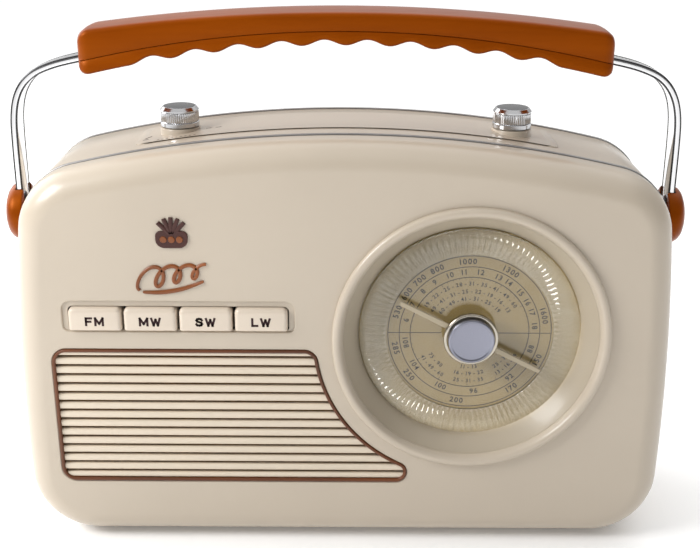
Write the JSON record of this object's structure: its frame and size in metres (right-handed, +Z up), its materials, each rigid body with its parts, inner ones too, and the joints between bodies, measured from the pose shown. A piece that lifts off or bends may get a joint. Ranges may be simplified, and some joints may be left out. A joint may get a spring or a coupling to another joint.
{
  "type": "tabletop radio",
  "caption": "Portable tabletop radio with a swinging carrying handle, round tuning dial, speaker grille, band buttons, top knobs and a fold-away aerial.",
  "frame": {"origin": "centre of the footprint, on the surface that the feet rest on", "axes": "+Z up, -Y towards the front with the dial and grille, +X to the right seen from the front"},
  "size_m": [0.3056, 0.091, 0.2385],
  "materials": {
    "case_cream": "moulded cream plastic, satin gloss",
    "button_cream": "moulded cream plastic with printed letters",
    "trim_silver": "silver grey, satin",
    "foot_rubber": "matt",
    "caramel": "polished caramel plastic",
    "strap_chrome": "polished",
    "fastener_steel": "bright zinc",
    "grille_trim": "copper brown bead",
    "emblem_brown": "raised trim",
    "scale_print": "printed gold plate",
    "dial_clear": "clear moulded acrylic with fluted rim",
    "pointer_cream": "moulded",
    "hub_metal": "spun",
    "drive_brass": "machined",
    "knob_chrome": "polished with a knurled band",
    "speaker_steel": "pressed steel",
    "speaker_magnet": "sintered",
    "speaker_paper": "pressed pulp",
    "board_brown": "bonded paper board",
    "part_black": "moulded",
    "control_steel": "plated can",
    "ferrite": "sintered",
    "transformer_iron": "varnished stack and winding",
    "cell_jacket": "plain jacket"
  },
  "bodies": {
    "case": {"front_shell": "case_cream", "case_band": "case_cream", "rear_cover": "case_cream", "top_panel": "case_cream", "speaker_grille": "case_cream", "dial_bezel": "case_cream", "front_trim": "trim_silver", "rear_trim": "trim_silver", "foot_front_left": "foot_rubber", "foot_front_right": "foot_rubber", "foot_rear_left": "foot_rubber", "foot_rear_right": "foot_rubber", "pivot_pin_left": "fastener_steel", "pivot_pin_right": "fastener_steel", "case_screw_1": "fastener_steel", "case_screw_2": "fastener_steel", "case_screw_3": "fastener_steel", "case_screw_4": "fastener_steel", "grille_trim": "grille_trim", "badge": "emblem_brown", "name_flourish": "emblem_brown", "scale_plate": "scale_print", "speaker_frame": "speaker_steel", "speaker_magnet": "speaker_magnet", "speaker_cone": "speaker_paper", "main_board": "board_brown", "band_switch": "part_black", "mains_inlet": "part_black", "battery_holder": "part_black", "volume_control": "control_steel", "tone_control": "control_steel", "tuning_capacitor": "control_steel", "ferrite_rod": "ferrite", "transformer": "transformer_iron", "battery_pack": "cell_jacket"},
    "handle": {"handle_arm_left": "strap_chrome", "handle_arm_right": "strap_chrome", "grip_upper": "caramel", "grip_lower": "caramel", "pivot_cap_left": "caramel", "pivot_cap_right": "caramel"},
    "tuning": {"tuning_dial": "dial_clear", "dial_pointer": "pointer_cream", "dial_collar": "hub_metal", "dial_cap": "hub_metal", "tuning_gear": "drive_brass"},
    "capacitor": {"capacitor_gear": "drive_brass"},
    "volume": {"volume_knob": "knob_chrome", "volume_shaft": "drive_brass"},
    "tone": {"tone_knob": "knob_chrome", "tone_shaft": "drive_brass"},
    "button_1": {"band_button_1": "button_cream"},
    "button_2": {"band_button_2": "button_cream"},
    "button_3": {"band_button_3": "button_cream"},
    "button_4": {"band_button_4": "button_cream"},
    "hatch": {"battery_door": "case_cream"},
    "aerial": {"aerial_swivel": "fastener_steel", "aerial_tube_1": "strap_chrome"},
    "aerial_middle": {"aerial_tube_2": "strap_chrome"},
    "aerial_end": {"aerial_tip": "strap_chrome"}
  },
  "joints": [
    {"name": "handle_swing", "type": "hinge", "parent": "case", "child": "handle", "pos_m": [0, 0.0015, 0.147], "axis": [1, 0, 0], "range_deg": [-90, 90]},
    {"name": "tuning_turn", "type": "hinge", "parent": "case", "child": "tuning", "pos_m": [0.055, -0.036, 0.1025], "axis": [0, -1, 0], "range_deg": [-150, 27]},
    {"name": "capacitor_turn", "type": "hinge", "parent": "case", "child": "capacitor", "pos_m": [0.055, -0.025, 0.0785], "axis": [0, -1, 0], "range_deg": [-28, 151]},
    {"name": "volume_turn", "type": "hinge", "parent": "case", "child": "volume", "pos_m": [-0.0735, 0.0015, 0.18413], "axis": [0, 0, 1], "range_deg": [-140, 140]},
    {"name": "tone_turn", "type": "hinge", "parent": "case", "child": "tone", "pos_m": [0.0735, 0.0015, 0.18413], "axis": [0, 0, 1], "range_deg": [-140, 140]},
    {"name": "button_1_press", "type": "slide", "parent": "case", "child": "button_1", "axis": [0, 1, 0], "range_m": [0, 0.003], "stiffness_N_per_m": 250, "springref_m": -0.001},
    {"name": "button_2_press", "type": "slide", "parent": "case", "child": "button_2", "axis": [0, 1, 0], "range_m": [0, 0.003], "stiffness_N_per_m": 250, "springref_m": -0.001},
    {"name": "button_3_press", "type": "slide", "parent": "case", "child": "button_3", "axis": [0, 1, 0], "range_m": [0, 0.003], "stiffness_N_per_m": 250, "springref_m": -0.001},
    {"name": "button_4_press", "type": "slide", "parent": "case", "child": "button_4", "axis": [0, 1, 0], "range_m": [0, 0.003], "stiffness_N_per_m": 250, "springref_m": -0.001},
    {"name": "hatch_swing", "type": "hinge", "parent": "case", "child": "hatch", "pos_m": [0.044, 0.0453, 0.043], "axis": [0, 0, -1], "range_deg": [0, 110]},
    {"name": "aerial_lift", "type": "hinge", "parent": "case", "child": "aerial", "pos_m": [0.1, 0.041, 0.168], "axis": [0, 1, 0], "range_deg": [0, 90]},
    {"name": "aerial_slide_1", "type": "slide", "parent": "aerial", "child": "aerial_middle", "axis": [-1, 0, 0], "range_m": [0, 0.15]},
    {"name": "aerial_slide_2", "type": "slide", "parent": "aerial_middle", "child": "aerial_end", "axis": [-1, 0, 0], "range_m": [0, 0.15]}
  ],
  "couplings": [
    {"joint": "capacitor_turn", "follows": "tuning_turn", "ratio": -1}
  ]
}
